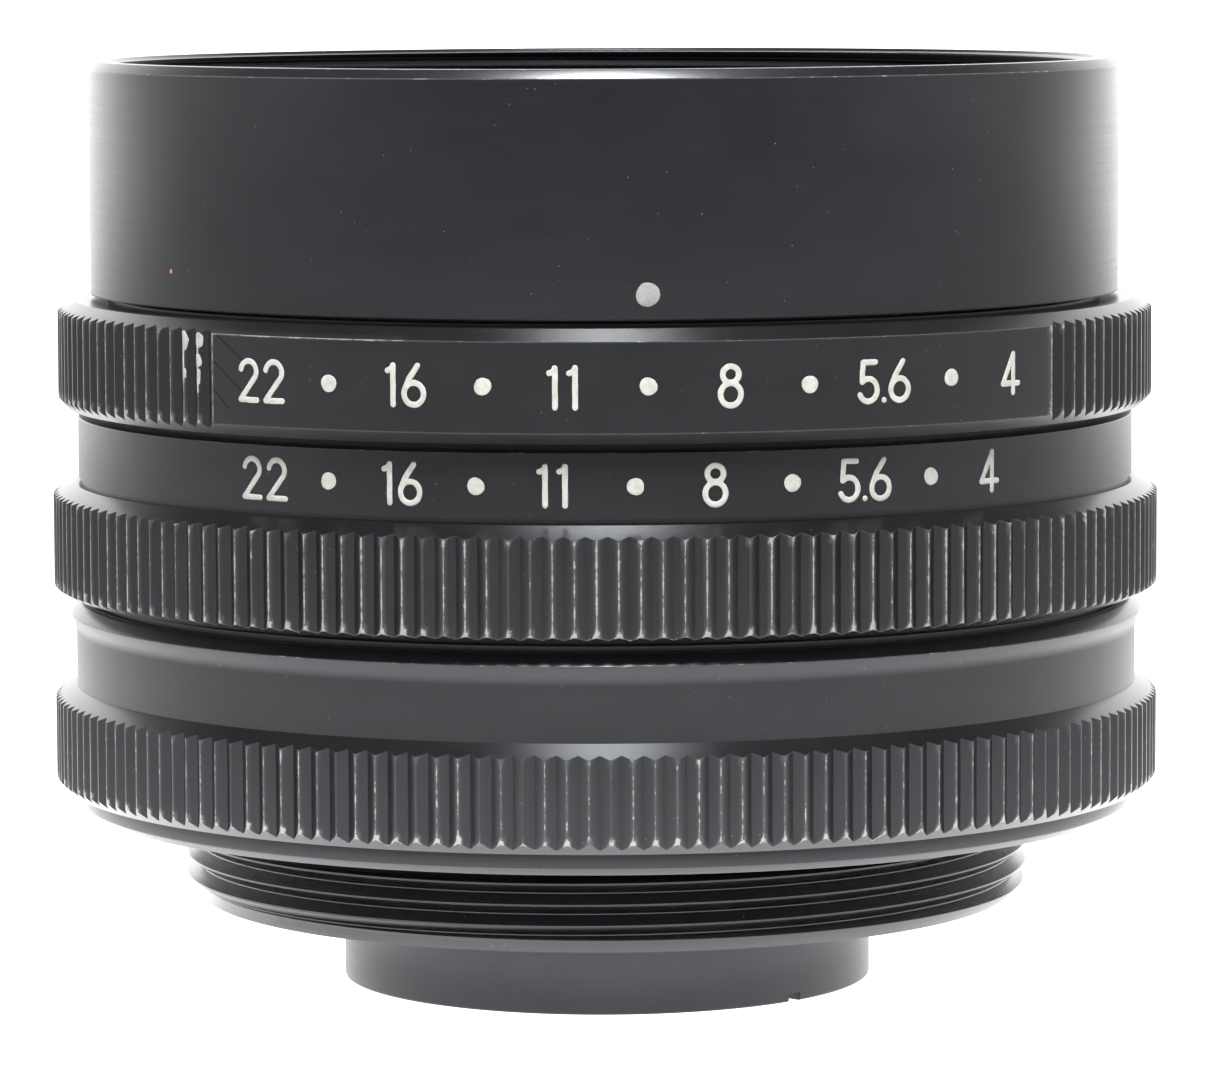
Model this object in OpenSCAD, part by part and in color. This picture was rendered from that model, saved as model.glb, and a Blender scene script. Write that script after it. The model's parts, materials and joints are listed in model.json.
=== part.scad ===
// Preset-aperture wide-angle lens with an M42 screw mount.
// Origin: centre of the rear tube's rim. +Z runs along the optical axis to the front of the lens.
// The scales are read from the -Y side. An azimuth is counted from -Y towards +X.

/* [Rear mount] */
// Nominal diameter of the camera thread
camera_thread_d = 42; // [41.8:0.1:42]
// Pitch of the camera thread
camera_thread_pitch = 1; // [1:0.25:1.25]
// Outer diameter of the rear tube
rear_tube_d = 26.34; // [26.2:0.02:26.6]
// Height of the rear tube's rim below the camera thread
rear_tube_h = 4.23; // [4:0.01:4.5]
// Length of the camera thread up to its flange
camera_thread_h = 4.57; // [4.5:0.01:4.8]
// Diameter of the mount flange
flange_d = 52.6; // [52:0.1:53]
// Thickness of the mount flange
flange_h = 0.88; // [0.8:0.01:1]

/* [Turning rings] */
// Diameter over the ribs of the focus grip and of the aperture grip
grip_d = 54.94; // [54.5:0.02:55.4]
// Diameter of the preset ring, over its ribs and its scale panel
preset_d = 54.34; // [54:0.02:54.8]
// Diameter of the focus band above the grip
focus_band_d = 52.8; // [52.6:0.1:53]
// Diameter of the aperture band that carries the scale
aperture_band_d = 52.42; // [52.2:0.02:52.8]
// Height of the focus grip
focus_grip_h = 5.07; // [5:0.01:5.4]
// Height of the plain focus band
focus_band_h = 3.03; // [2.8:0.01:3.2]
// Height of the rounded bead on top of the focus band
focus_bead_h = 1.1; // [1:0.05:1.2]
// Height of the aperture grip
aperture_grip_h = 5.36; // [5.2:0.01:5.5]
// Height of the aperture band
aperture_band_h = 3.31; // [3.2:0.01:3.5]
// Height of the preset ring
preset_h = 5.27; // [5.1:0.01:5.4]

/* [Ribs] */
// Number of ribs round a grip
rib_count = 170; // [150:5:180]
// Depth of the grooves between ribs
rib_depth = 0.3; // [0.2:0.02:0.4]
// Width of a rib's flat crest
rib_land = 0.1; // [0.06:0.02:0.3]
// First azimuth of the smooth scale panel on the preset ring
panel_from = -42.7; // [-45:0.1:-40]
// Last azimuth of the smooth scale panel on the preset ring
panel_to = 51.4; // [48:0.1:54]

/* [Front barrel] */
// Outer diameter of the front barrel
front_d = 51.04; // [50.8:0.02:51.4]
// Height of the front barrel
front_h = 11.49; // [11.3:0.01:11.8]
// Nominal diameter of the filter thread
filter_thread_d = 49; // [49:0.1:49.1]
// Pitch of the filter thread
filter_thread_pitch = 0.75; // [0.75:0.05:0.8]

/* [Focusing] */
// Turn of the focus ring from infinity to its nearest distance, in degrees
focus_throw = 300; // [270:5:310]
// Advance of the optical block for that turn
focus_travel = 3.75; // [3:0.05:3.8]

/* [Iris] */
// Number of iris blades
blade_count = 8; // [6:1:8]
// Radius of the fully open iris
iris_open_r = 5.5; // [5.4:0.05:5.6]
// Width of a blade
blade_w = 3.3; // [3:0.05:3.4]
// Thickness of a blade
blade_t = 0.08; // [0.05:0.01:0.1]
// Radius of the circle of blade pivots
pivot_r = 10.5; // [10.4:0.05:10.6]
// Distance from a blade's pivot to its drive pin
blade_lever = 4.3; // [4.2:0.05:4.4]
// Turn of a blade from fully open to the smallest stop, in degrees
blade_swing = 25; // [22:0.5:26]
// Turn of the aperture ring from the largest to the smallest stop, in degrees
stop_throw = 81.3; // [80:0.1:82]

/* [Fits] */
// Radial gap of a turning or sliding fit
run_gap = 0.06; // [0.04:0.01:0.08]
// Radial gap between pieces that are screwed or pressed together
seat_gap = 0.02; // [0.01:0.01:0.03]

/* [Hidden] */
$fn = 96;
eps = 0.01;
far = 200;

// Heights of the visible pieces, from the rear rim to the front rim
thread_z = rear_tube_h;
flange_z = thread_z + camera_thread_h;
flange_top = flange_z + flange_h;
focus_z = flange_top + 0.22;
focus_band_z = focus_z + focus_grip_h;
bead_z = focus_band_z + focus_band_h;
focus_top = bead_z + focus_bead_h;
aperture_z = focus_top + 0.57;
aperture_band_z = aperture_z + aperture_grip_h;
aperture_top = aperture_band_z + aperture_band_h;
preset_z = aperture_top + 0.43;
preset_top = preset_z + preset_h;
front_z = preset_top + 0.29;
front_top = front_z + front_h;

// Radii of the visible pieces
thread_r = camera_thread_d / 2;
thread_root_r = thread_r - 0.61 * camera_thread_pitch;
tube_r = rear_tube_d / 2;
flange_r = flange_d / 2;
grip_r = grip_d / 2;
focus_band_r = focus_band_d / 2;
bead_r = focus_band_r + 0.25;
aperture_band_r = aperture_band_d / 2;
preset_r = preset_d / 2;
front_r = front_d / 2;
foot_chamfer = 0.5;
filter_r = filter_thread_d / 2;
filter_crest_r = filter_r - 0.5413 * filter_thread_pitch;

// Rear web, fixed guide sleeve and focus ring capture
web_z = flange_z - 2.2;
web_top = flange_z + 0.5;
recess_r = 19.2;
tube_bore_r = tube_r - 0.97;
spigot_r = tube_bore_r + 0.65;
sleeve_r = 21.25;
sleeve_bore_r = 20.1;
sleeve_top = web_top + 7.7;
rim_r = 22.9;
rim_top = focus_z + 0.85;
retainer_r = 23.8;
retainer_z = rim_top + 0.1;
retainer_top = retainer_z + 0.65;

// Helicoid sleeve of the focus ring and sliding helicoid tube of the optical block
helicoid_r = 24.4;
helicoid_bore_r = 22.75;
helicoid_z = retainer_top + 0.25;
helicoid_flange_z = focus_z + 2.8;
helicoid_flange_h = 0.8;
helicoid_top = bead_z + 0.4;
slide_r = helicoid_bore_r - run_gap;
slide_bore_r = sleeve_r + 0.1;
slide_z = helicoid_z + 0.05;
slide_top = helicoid_top + 0.5;
slide_flange_r = 19.5;
slide_flange_z = slide_top - 1.4;
key_w = 3;
key_h = 2.5;

// Skirt and ring seat of the main barrel
skirt_r = 25.5;
skirt_bore_r = 24.75;
skirt_z = helicoid_flange_z + helicoid_flange_h + 0.7;
shoulder_z = aperture_z - 0.32;
seat_r = 24.6;
seat_top = front_z - 0.18;
barrel_flange_top = slide_top + 1.4;
barrel_bore_r = 23.3;
spigot_bore_r = 23.4;
barrel_web_z = barrel_flange_top + 5.7;
barrel_web_top = barrel_web_z + 1.6;
ring_bore_r = seat_r + run_gap;
lip_r = skirt_r + 0.22;

// Iris, between the housing's floor and the front cell
housing_r = 14.6;
housing_bore_r = 13;
housing_z = slide_top - 0.7;
floor_z = housing_z + 1.2;
floor_top = floor_z + 0.8;
blade_z = floor_top + 0.1;
blade_pitch = blade_t + 0.08;
rotor_z = blade_z + 8 * blade_pitch + 0.2;
rotor_h = 1;
rotor_r = 12.7;
rotor_bore_r = 8.3;
drive_z = rotor_z + rotor_h / 2;
drive_pin_r = 0.75;
front_cell_z = drive_z + drive_pin_r + 0.1;
pin_r = 0.25;
pin_slot_w = 2 * pin_r + 0.08;
pin_overrun = 2.6;
// Direction of a blade's lever at rest, with the iris half closed
lever_rest = acos(-blade_lever / (2 * pivot_r));
blade_ratio = blade_swing / stop_throw;

// Rear cell and its glass
cell_r = tube_bore_r - 0.3;
cell_z = 1;
rear_glass_r = 10.4;
rear_glass_seat = 6.5;
doublet_r = 8;
doublet_seat = 12.6;

// Front cell and its glass
front_cell_r = 19.9;
front_glass_r = 17.6;
front_glass_seat = 32.6;
second_glass_r = 10.9;
second_glass_seat = 25.9;
front_cell_top = 39;
trim_r = 23.3;
trim_z = front_cell_top;
trim_top = 41.8;

// Click stop of the preset ring
click_r = 25;
click_ball_r = 0.4;
click_z = front_z + 0.13;
click_az = 184.3;
stop_step = stop_throw / 10;

// Profiles -------------------------------------------------------------------------------------

// One 60 degree thread ridge of a male thread, centred on height z
function ridge(z, crest, root, pitch) = [
    [root, z - 0.42 * pitch],
    [crest, z - 0.08 * pitch],
    [crest, z + 0.08 * pitch],
    [root, z + 0.42 * pitch]
];

// A run of equal thread ridges
function ridges(z, count, crest, root, pitch) = [
    for (i = [0 : count - 1]) each ridge(z + i * pitch, crest, root, pitch)
];

// Points of an arc round a centre
function arc(r, from, to, steps, x = 0, y = 0) = [
    for (i = [0 : steps])
        let (a = from + (to - from) * i / steps)
        [x + r * cos(a), y + r * sin(a)]
];

function turned(p, a) = [p.x * cos(a) - p.y * sin(a), p.x * sin(a) + p.y * cos(a)];

// Shared shapes --------------------------------------------------------------------------------

// Turns its children to an azimuth; they are drawn along +X
module at_azimuth(az) {
    rotate([0, 0, az - 90]) children();
}

// A flat ring between two heights
module tube(r, bore, z, top) {
    rotate_extrude() polygon([[bore, z], [r, z], [r, top], [bore, top]]);
}

// The grooves between ribs, left out over the azimuths from skip_from to skip_to
module rib_grooves(r, z, h, skip_from = 0, skip_to = 0) {
    pitch = 360 / rib_count;
    half = PI * r / rib_count - rib_land / 2;
    clear = 0.1;
    mouth = half * (1 + clear / rib_depth);
    translate([0, 0, z]) linear_extrude(h)
        for (i = [0 : rib_count - 1]) {
            az = -180 + (i + 0.5) * pitch;
            if (az < skip_from || az > skip_to)
                rotate(az - 90) polygon([[r + clear, mouth], [r - rib_depth, 0], [r + clear, -mouth]]);
        }
}

// A slot through a wall that follows the wall round
module arc_slot(inner, outer, z, h, az, half_angle) {
    at_azimuth(az - half_angle)
        rotate_extrude(angle = 2 * half_angle)
            polygon([[inner, z], [outer, z], [outer, z + h], [inner, z + h]]);
}

// A cheese-head screw that points down, with the underside of its head at z = 0
module screw(d, length, head_d, head_h) {
    difference() {
        union() {
            translate([0, 0, -length]) cylinder(d = d, h = length + eps);
            cylinder(d = head_d, h = head_h);
        }
        translate([-head_d, -0.15 * d, head_h - 0.35 * d]) cube([2 * head_d, 0.3 * d, d]);
    }
}

// Two opposite slots for a pin spanner across a ring's face
module spanner_slots(r, w, z, h, az) {
    at_azimuth(az) translate([-r, -w / 2, z]) cube([2 * r, w, h]);
}

// A lens element. A radius is positive when the surface bulges to the front.
module lens_element(r, front, rear, front_radius, rear_radius, rim_z, rim_top) {
    difference() {
        intersection() {
            translate([0, 0, rim_z]) cylinder(r = r, h = rim_top - rim_z);
            lens_side(front, front_radius, front_radius > 0);
            lens_side(rear, rear_radius, rear_radius < 0);
        }
        if (front_radius < 0) lens_side(front, front_radius, true);
        if (rear_radius > 0) lens_side(rear, rear_radius, true);
    }
}

module lens_side(vertex, radius, is_ball) {
    if (is_ball)
        translate([0, 0, vertex - radius]) sphere(r = abs(radius), $fn = 200);
    else
        cylinder(r = far, h = far, center = true);
}

// Fixed mount ----------------------------------------------------------------------------------

module mount_flange() {
    first = thread_z + 1.37;
    color([0.09, 0.09, 0.1])
    difference() {
        rotate_extrude() polygon(concat(
            [[recess_r, thread_z], [thread_r - 0.8, thread_z], [thread_r - 0.1, thread_z + 0.65]],
            ridges(first, 3, thread_r, thread_root_r, camera_thread_pitch),
            [
                [thread_root_r - 0.1, first + 2.6], [thread_root_r - 0.1, flange_z + 0.12],
                [thread_r + 0.3, flange_z + 0.12], [thread_r + 0.3, flange_z],
                [flange_r - 0.3, flange_z], [flange_r, flange_z + 0.32], [flange_r, flange_top],
                [sleeve_r + 0.05, flange_top], [sleeve_r + 0.05, web_top],
                [spigot_r + seat_gap, web_top], [spigot_r + seat_gap, web_z], [recess_r, web_z]
            ]));
        for (i = [0 : 3]) at_azimuth(45 + 90 * i) translate([17.4, 0, web_z - eps]) {
            cylinder(r = 0.82, h = 3);
            cylinder(r = 1.45, h = 0.9);
        }
        at_azimuth(180) translate([24.2, 0, flange_top - 0.5]) cylinder(r = 0.5 + seat_gap, h = 1);
    }
}

module rear_tube() {
    color([0.16, 0.16, 0.17])
    difference() {
        rotate_extrude() polygon([
            [tube_bore_r, 0], [tube_r - 0.15, 0], [tube_r, 0.15], [tube_r, web_z],
            [spigot_r, web_z], [spigot_r, web_top], [tube_bore_r, web_top]
        ]);
        spanner_slots(20, 0.8, -eps, 0.42, 44);
    }
}

module guide_sleeve() {
    color([0.35, 0.33, 0.28])
    difference() {
        rotate_extrude() polygon([
            [15, web_top], [sleeve_r, web_top], [sleeve_r, sleeve_top], [sleeve_bore_r, sleeve_top],
            [sleeve_bore_r, web_top + 1], [15, web_top + 1]
        ]);
        for (az = [90, 270]) at_azimuth(az)
            translate([18, -key_w / 2 - 0.05, slide_z - 0.1]) cube([6, key_w + 0.1, 20]);
        for (i = [0 : 3]) at_azimuth(45 + 90 * i)
            translate([17.4, 0, web_top - eps]) cylinder(r = 0.8 + seat_gap, h = 2);
    }
}

module guide_screws() {
    color([0.45, 0.45, 0.47])
    for (i = [0 : 3]) at_azimuth(45 + 90 * i)
        translate([17.4, 0, web_z + 0.85]) rotate([180, 0, 0]) screw(1.6, 2.2, 2.8, 0.75);
}

module focus_retainer() {
    color([0.62, 0.52, 0.3])
    difference() {
        rotate_extrude() polygon([
            [sleeve_r + seat_gap, flange_top], [rim_r - 0.12, flange_top], [rim_r - 0.12, retainer_z],
            [retainer_r, retainer_z], [retainer_r, retainer_top], [sleeve_r + seat_gap, retainer_top]
        ]);
        spanner_slots(30, 1.2, retainer_top - 0.35, 1, 45);
    }
}

module friction_washer() {
    color([0.12, 0.1, 0.09]) tube(26, 25.3, flange_top, focus_z - 0.02);
}

module focus_stop_pin() {
    color([0.6, 0.6, 0.62])
    at_azimuth(180) translate([24.2, 0, flange_top - 0.45]) cylinder(r = 0.5, h = 0.95);
}

// Focus ring -----------------------------------------------------------------------------------

module focus_ring() {
    grip_low = focus_z + foot_chamfer;
    grip_high = focus_band_z - 0.62;
    lug = (360 - focus_throw) / 2;
    pin_angle = asin(0.6 / 24.2);
    color([0.1, 0.1, 0.11])
    difference() {
        rotate_extrude() polygon(concat(
            [
                [rim_r, focus_z], [grip_r - foot_chamfer, focus_z], [grip_r, grip_low], [grip_r, grip_high],
                [focus_band_r, focus_band_z], [focus_band_r, bead_z - 0.2],
                [focus_band_r - 0.12, bead_z - 0.1], [focus_band_r - 0.12, bead_z + 0.05]
            ],
            arc(0.5, -70, 80, 8, bead_r - 0.5, bead_z + 0.55),
            [
                [lip_r, focus_top], [lip_r, helicoid_flange_z], [helicoid_r + seat_gap, helicoid_flange_z],
                [helicoid_r + seat_gap, rim_top], [rim_r, rim_top]
            ]));
        rib_grooves(grip_r, focus_z - 1, focus_grip_h + 2);
        arc_slot(23.55, 24.85, focus_z - eps, 0.5, 180 - focus_throw / 2, focus_throw / 2 + pin_angle);
        for (i = [0 : 3]) at_azimuth(30 + 90 * i)
            translate([25.05, 0, helicoid_flange_z - 1.2]) cylinder(r = 0.5 + seat_gap, h = 2);
    }
}

module focus_helicoid() {
    color([0.66, 0.56, 0.32])
    difference() {
        rotate_extrude() polygon([
            [helicoid_bore_r, helicoid_z], [helicoid_r, helicoid_z], [helicoid_r, helicoid_flange_z],
            [lip_r - 0.05, helicoid_flange_z], [lip_r - 0.05, helicoid_flange_z + helicoid_flange_h],
            [helicoid_r, helicoid_flange_z + helicoid_flange_h], [helicoid_r, helicoid_top],
            [helicoid_bore_r, helicoid_top]
        ]);
        for (i = [0 : 3]) at_azimuth(30 + 90 * i)
            translate([25.05, 0, helicoid_flange_z - 1]) cylinder(r = 0.5 + seat_gap, h = 2);
    }
}

module helicoid_screws() {
    color([0.45, 0.45, 0.47])
    for (i = [0 : 3]) at_azimuth(30 + 90 * i)
        translate([25.05, 0, helicoid_flange_z + helicoid_flange_h - 0.3]) screw(1, 1.6, 1, 0.3);
}

// Optical block: barrels -----------------------------------------------------------------------

module main_barrel() {
    slot_half = stop_throw / 2 + 3;
    color([0.2, 0.16, 0.13])
    difference() {
        rotate_extrude() polygon([
            [skirt_bore_r, skirt_z], [skirt_r, skirt_z], [skirt_r, shoulder_z], [seat_r, shoulder_z],
            [seat_r, seat_top], [spigot_bore_r, seat_top], [spigot_bore_r, barrel_web_top],
            [housing_r + seat_gap, barrel_web_top], [housing_r + seat_gap, barrel_web_z],
            [barrel_bore_r, barrel_web_z], [barrel_bore_r, barrel_flange_top],
            [slide_flange_r, barrel_flange_top], [slide_flange_r, slide_top], [skirt_bore_r, slide_top]
        ]);
        arc_slot(22, 26, drive_z - drive_pin_r - 0.1, 2 * drive_pin_r + 0.2, 180, slot_half);
        for (i = [0 : 3]) at_azimuth(90 * i)
            translate([20.8, 0, slide_top - eps]) cylinder(r = 0.8 + seat_gap, h = 2);
        for (i = [0 : 2]) at_azimuth(60 + 120 * i)
            translate([16, 0, barrel_web_z - eps]) cylinder(r = 0.7 + seat_gap, h = 2);
    }
}

module helicoid_tube() {
    color([0.55, 0.55, 0.56])
    difference() {
        rotate_extrude() polygon([
            [slide_bore_r, slide_z], [slide_r, slide_z], [slide_r, slide_top],
            [slide_flange_r, slide_top], [slide_flange_r, slide_flange_z], [slide_bore_r, slide_flange_z]
        ]);
        for (i = [0 : 3]) at_azimuth(90 * i)
            translate([20.8, 0, slide_flange_z - eps]) cylinder(r = 0.8 + seat_gap, h = 2);
        for (az = [90, 270]) at_azimuth(az) translate([20, 0, slide_z + key_h / 2 + 0.1])
            rotate([0, 90, 0]) cylinder(r = 0.6 + seat_gap, h = 4);
    }
}

module tube_screws() {
    color([0.45, 0.45, 0.47])
    for (i = [0 : 3]) at_azimuth(90 * i)
        translate([20.8, 0, barrel_flange_top]) screw(1.6, 2.6, 2.4, 0.6);
}

module guide_keys() {
    color([0.66, 0.56, 0.32])
    for (az = [90, 270]) at_azimuth(az) difference() {
        intersection() {
            translate([20.3, -key_w / 2, slide_z + 0.1]) cube([2, key_w, key_h]);
            cylinder(r = slide_bore_r - seat_gap, h = far);
        }
        translate([20, 0, slide_z + key_h / 2 + 0.1])
            rotate([0, 90, 0]) cylinder(r = 0.6 + seat_gap, h = 4);
    }
}

module key_screws() {
    color([0.45, 0.45, 0.47])
    for (az = [90, 270]) at_azimuth(az) difference() {
        translate([20.5, 0, slide_z + key_h / 2 + 0.1]) rotate([0, 90, 0]) cylinder(r = 0.6, h = 2);
        translate([22.2, -0.12, slide_z]) cube([1, 0.24, key_h + 0.4]);
    }
}

module front_barrel() {
    rim_r = filter_r + 0.1;
    thread_start = front_top - 3.6;
    color([0.1, 0.1, 0.12])
    difference() {
        rotate_extrude() polygon(concat(
            [
                [21.2, front_z - 3.8], [spigot_bore_r - seat_gap, front_z - 3.8],
                [spigot_bore_r - seat_gap, front_z], [front_r - 0.08, front_z], [front_r, front_z + 0.1],
                [front_r, front_top - 0.39], [front_r - 0.42, front_top], [rim_r, front_top],
                [filter_r, front_top - 0.12]
            ],
            [for (i = [0 : 4]) each [
                [filter_r, front_top - 0.2 - i * filter_thread_pitch],
                [filter_crest_r, front_top - 0.45 - i * filter_thread_pitch],
                [filter_crest_r, front_top - 0.6 - i * filter_thread_pitch],
                [filter_r, front_top - 0.85 - i * filter_thread_pitch]
            ]],
            [
                [filter_r, trim_top], [trim_r + seat_gap, trim_top], [trim_r + seat_gap, trim_z],
                [21.2, trim_z]
            ]));
        at_azimuth(click_az) translate([click_r, 0, front_z - eps])
            cylinder(r = click_ball_r + 0.03, h = 2.7);
    }
}

module front_trim_ring() {
    steps = 5;
    drop = 1.5;
    inner = front_glass_r - 1.3;
    width = (trim_r - 0.9 - inner) / steps;
    color([0.06, 0.06, 0.07])
    rotate_extrude() polygon(concat(
        [[inner, trim_z], [trim_r, trim_z], [trim_r, trim_top], [trim_r - 0.9, trim_top]],
        [for (i = [0 : steps - 1]) each [
            [trim_r - 0.9 - i * width, trim_top - 0.3 - i * drop / steps],
            [trim_r - 0.9 - (i + 1) * width, trim_top - 0.3 - i * drop / steps]
        ]]));
}

module front_cell() {
    waist = housing_bore_r - 0.05;
    flange_z = barrel_web_top + 1;
    color([0.12, 0.12, 0.13])
    rotate_extrude() polygon([
        [6.4, front_cell_z], [waist, front_cell_z], [waist, flange_z], [17, flange_z],
        [front_cell_r, flange_z + 2.9], [front_cell_r, front_cell_top],
        [front_glass_r + 0.05, front_cell_top], [front_glass_r + 0.05, front_glass_seat],
        [14.4, front_glass_seat], [second_glass_r + 0.05, flange_z + 2.4],
        [second_glass_r + 0.05, second_glass_seat], [9.6, second_glass_seat], [9.6, front_cell_z + 0.7],
        [6.4, front_cell_z + 0.7]
    ]);
}

// Optical block: glass -------------------------------------------------------------------------

module front_lens() {
    color([0.45, 0.5, 0.75, 0.4])
    lens_element(front_glass_r, front_glass_seat + 7.8, front_glass_seat + 6, 40, 19.5,
        front_glass_seat, front_glass_seat + 8);
}

module front_lens_ring() {
    color([0.06, 0.06, 0.07])
    difference() {
        rotate_extrude() polygon([
            [front_glass_r - 0.05, front_cell_top - 2.2], [front_glass_r, front_cell_top - 2.2],
            [front_glass_r, front_cell_top - 0.05], [front_glass_r - 1.1, front_cell_top - 0.05],
            [front_glass_r - 1.1, front_cell_top - 1.6]
        ]);
        spanner_slots(30, 1.2, front_cell_top - 0.6, 1, 90);
    }
}

module second_lens() {
    color([0.5, 0.5, 0.7, 0.4])
    lens_element(second_glass_r, second_glass_seat + 4.2, second_glass_seat - 0.3, 30, -95,
        second_glass_seat, second_glass_seat + 5);
}

module second_lens_ring() {
    low = second_glass_seat + 2.3;
    color([0.06, 0.06, 0.07])
    rotate_extrude() polygon([
        [second_glass_r - 0.05, low], [second_glass_r, low], [second_glass_r, low + 2.1],
        [second_glass_r - 0.9, low + 2.1], [second_glass_r - 0.9, low + 0.4]
    ]);
}

module rear_cell() {
    collar_z = housing_z - 0.8;
    color([0.14, 0.14, 0.15])
    rotate_extrude() polygon([
        [rear_glass_r + 0.05, cell_z], [cell_r - 0.3, cell_z], [cell_r, cell_z + 0.3],
        [cell_r, collar_z], [13.4, collar_z], [13.4, housing_z], [12.28, housing_z],
        [12.28, floor_z - 0.05], [doublet_r + 0.05, floor_z - 0.05], [doublet_r + 0.05, doublet_seat],
        [7.2, doublet_seat], [7.2, 10.5], [8.8, 9], [8.8, rear_glass_seat],
        [rear_glass_r + 0.05, rear_glass_seat]
    ]);
}

module doublet_flint() {
    color([0.55, 0.5, 0.7, 0.4])
    lens_element(doublet_r, doublet_seat + 3.8, doublet_seat + 2.8, -28, 24,
        doublet_seat + 1.2, doublet_seat + 5);
}

module doublet_crown() {
    color([0.55, 0.6, 0.7, 0.4])
    lens_element(doublet_r, doublet_seat + 2.78, doublet_seat - 0.6, 24, -45,
        doublet_seat, doublet_seat + 3);
}

module doublet_ring() {
    color([0.06, 0.06, 0.07])
    tube(doublet_r, 7.1, doublet_seat + 5.05, floor_z - 0.4);
}

module rear_lens() {
    color([0.5, 0.45, 0.75, 0.4])
    lens_element(rear_glass_r, rear_glass_seat - 0.3, 2.5, 70, -32, 3.6, rear_glass_seat);
}

module rear_lens_ring() {
    color([0.06, 0.06, 0.07])
    difference() {
        rotate_extrude() polygon([
            [rear_glass_r - 1.2, cell_z + 0.3], [rear_glass_r, cell_z + 0.3], [rear_glass_r, 3.58],
            [rear_glass_r - 0.05, 3.58], [rear_glass_r - 0.9, 2.9]
        ]);
        spanner_slots(15, 1, cell_z, 0.8, 90);
    }
}

// Optical block: iris housing and click stop ---------------------------------------------------

module iris_housing() {
    slot_half = stop_throw / 2 + 5;
    color([0.16, 0.16, 0.17])
    difference() {
        rotate_extrude() polygon([
            [12.3, housing_z], [housing_r, housing_z], [housing_r, barrel_web_top],
            [17.2, barrel_web_top], [17.2, barrel_web_top + 1], [housing_bore_r, barrel_web_top + 1],
            [housing_bore_r, floor_top], [iris_open_r + 0.3, floor_top], [iris_open_r + 0.3, floor_z],
            [12.3, floor_z]
        ]);
        arc_slot(12, 16, drive_z - drive_pin_r - 0.1, 2 * drive_pin_r + 0.2, 180, slot_half);
        for (i = [0 : blade_count - 1]) rotate([0, 0, i * 360 / blade_count])
            translate([pivot_r, 0, floor_z - eps]) cylinder(r = pin_r + 0.03, h = 1);
        for (i = [0 : 2]) at_azimuth(60 + 120 * i)
            translate([16, 0, barrel_web_top - eps]) cylinder(r = 0.7 + seat_gap, h = 2);
    }
}

module housing_screws() {
    color([0.45, 0.45, 0.47])
    for (i = [0 : 2]) at_azimuth(60 + 120 * i)
        translate([16, 0, barrel_web_top + 0.65]) screw(1.4, 2.2, 1.4, 0.35);
}

module click_ball() {
    color([0.75, 0.75, 0.77])
    at_azimuth(click_az) translate([click_r, 0, click_z]) sphere(r = click_ball_r, $fn = 32);
}

module click_spring() {
    wire_r = 0.06;
    coil_r = click_ball_r - wire_r - 0.02;
    low = click_z + click_ball_r + wire_r;
    high = front_z + 2.6 - wire_r;
    turns = 6;
    steps = 12 * turns;
    sides = 6;
    rings = [for (i = [0 : steps]) let (a = 360 * turns * i / steps) [
        for (k = [0 : sides - 1])
            let (b = 360 * k / sides, r = coil_r + wire_r * cos(b))
            [r * cos(a), r * sin(a), low + (high - low) * i / steps + wire_r * sin(b)]
    ]];
    color([0.7, 0.7, 0.72])
    at_azimuth(click_az) translate([click_r, 0, 0])
        polyhedron(
            points = [for (ring = rings) each ring],
            faces = concat(
                [[for (k = [0 : sides - 1]) k]],
                [for (i = [0 : steps - 1], k = [0 : sides - 1])
                    let (n = (k + 1) % sides)
                    [i * sides + n, i * sides + k, (i + 1) * sides + k, (i + 1) * sides + n]],
                [[for (k = [sides - 1 : -1 : 0]) steps * sides + k]]));
}

// Aperture ring and iris -----------------------------------------------------------------------

module aperture_ring() {
    pin_angle = asin(0.5 / 25.4);
    color([0.1, 0.1, 0.11])
    difference() {
        rotate_extrude() polygon([
            [ring_bore_r, aperture_z], [grip_r - foot_chamfer, aperture_z],
            [grip_r, aperture_z + foot_chamfer], [grip_r, aperture_band_z - 0.59],
            [grip_r - 1.07, aperture_band_z],
            [aperture_band_r - 0.15, aperture_band_z], [aperture_band_r - 0.15, aperture_band_z + 0.25],
            [aperture_band_r, aperture_band_z + 0.27], [aperture_band_r, aperture_top - 0.08],
            [aperture_band_r - 0.08, aperture_top], [ring_bore_r, aperture_top]
        ]);
        rib_grooves(grip_r, aperture_z - 1, aperture_grip_h + 2);
        arc_slot(25, 25.8, aperture_top - 0.6, 1, 180, stop_throw + 1 + pin_angle);
        at_azimuth(180) translate([20, 0, drive_z]) rotate([0, 90, 0]) cylinder(r = 1 + seat_gap, h = 10);
    }
}

module drive_screw() {
    color([0.5, 0.5, 0.52])
    at_azimuth(180) translate([0, 0, drive_z]) rotate([0, 90, 0]) difference() {
        union() {
            translate([0, 0, 12]) cylinder(r = drive_pin_r, h = 13);
            translate([0, 0, ring_bore_r + 0.1]) cylinder(r = 1, h = grip_r - 0.5 - ring_bore_r - 0.1);
        }
        translate([-2, -0.15, grip_r - 0.9]) cube([4, 0.3, 2]);
    }
}

// The path of a drive pin across the rotor, which runs past both stops by pin_overrun degrees
function pin_path(steps) = [
    for (i = [0 : steps])
        let (turn = (stop_throw + 2 * pin_overrun) * (i / steps - 0.5))
        let (a = lever_rest + blade_ratio * turn)
        turned([pivot_r + blade_lever * cos(a), blade_lever * sin(a)], -turn)
];

// A slot of even width along a path
function along(path, w) = [
    for (i = [0 : len(path) - 1])
        let (d = path[min(i + 1, len(path) - 1)] - path[max(i - 1, 0)])
        path[i] + w * [-d.y, d.x] / norm(d)
];

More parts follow.
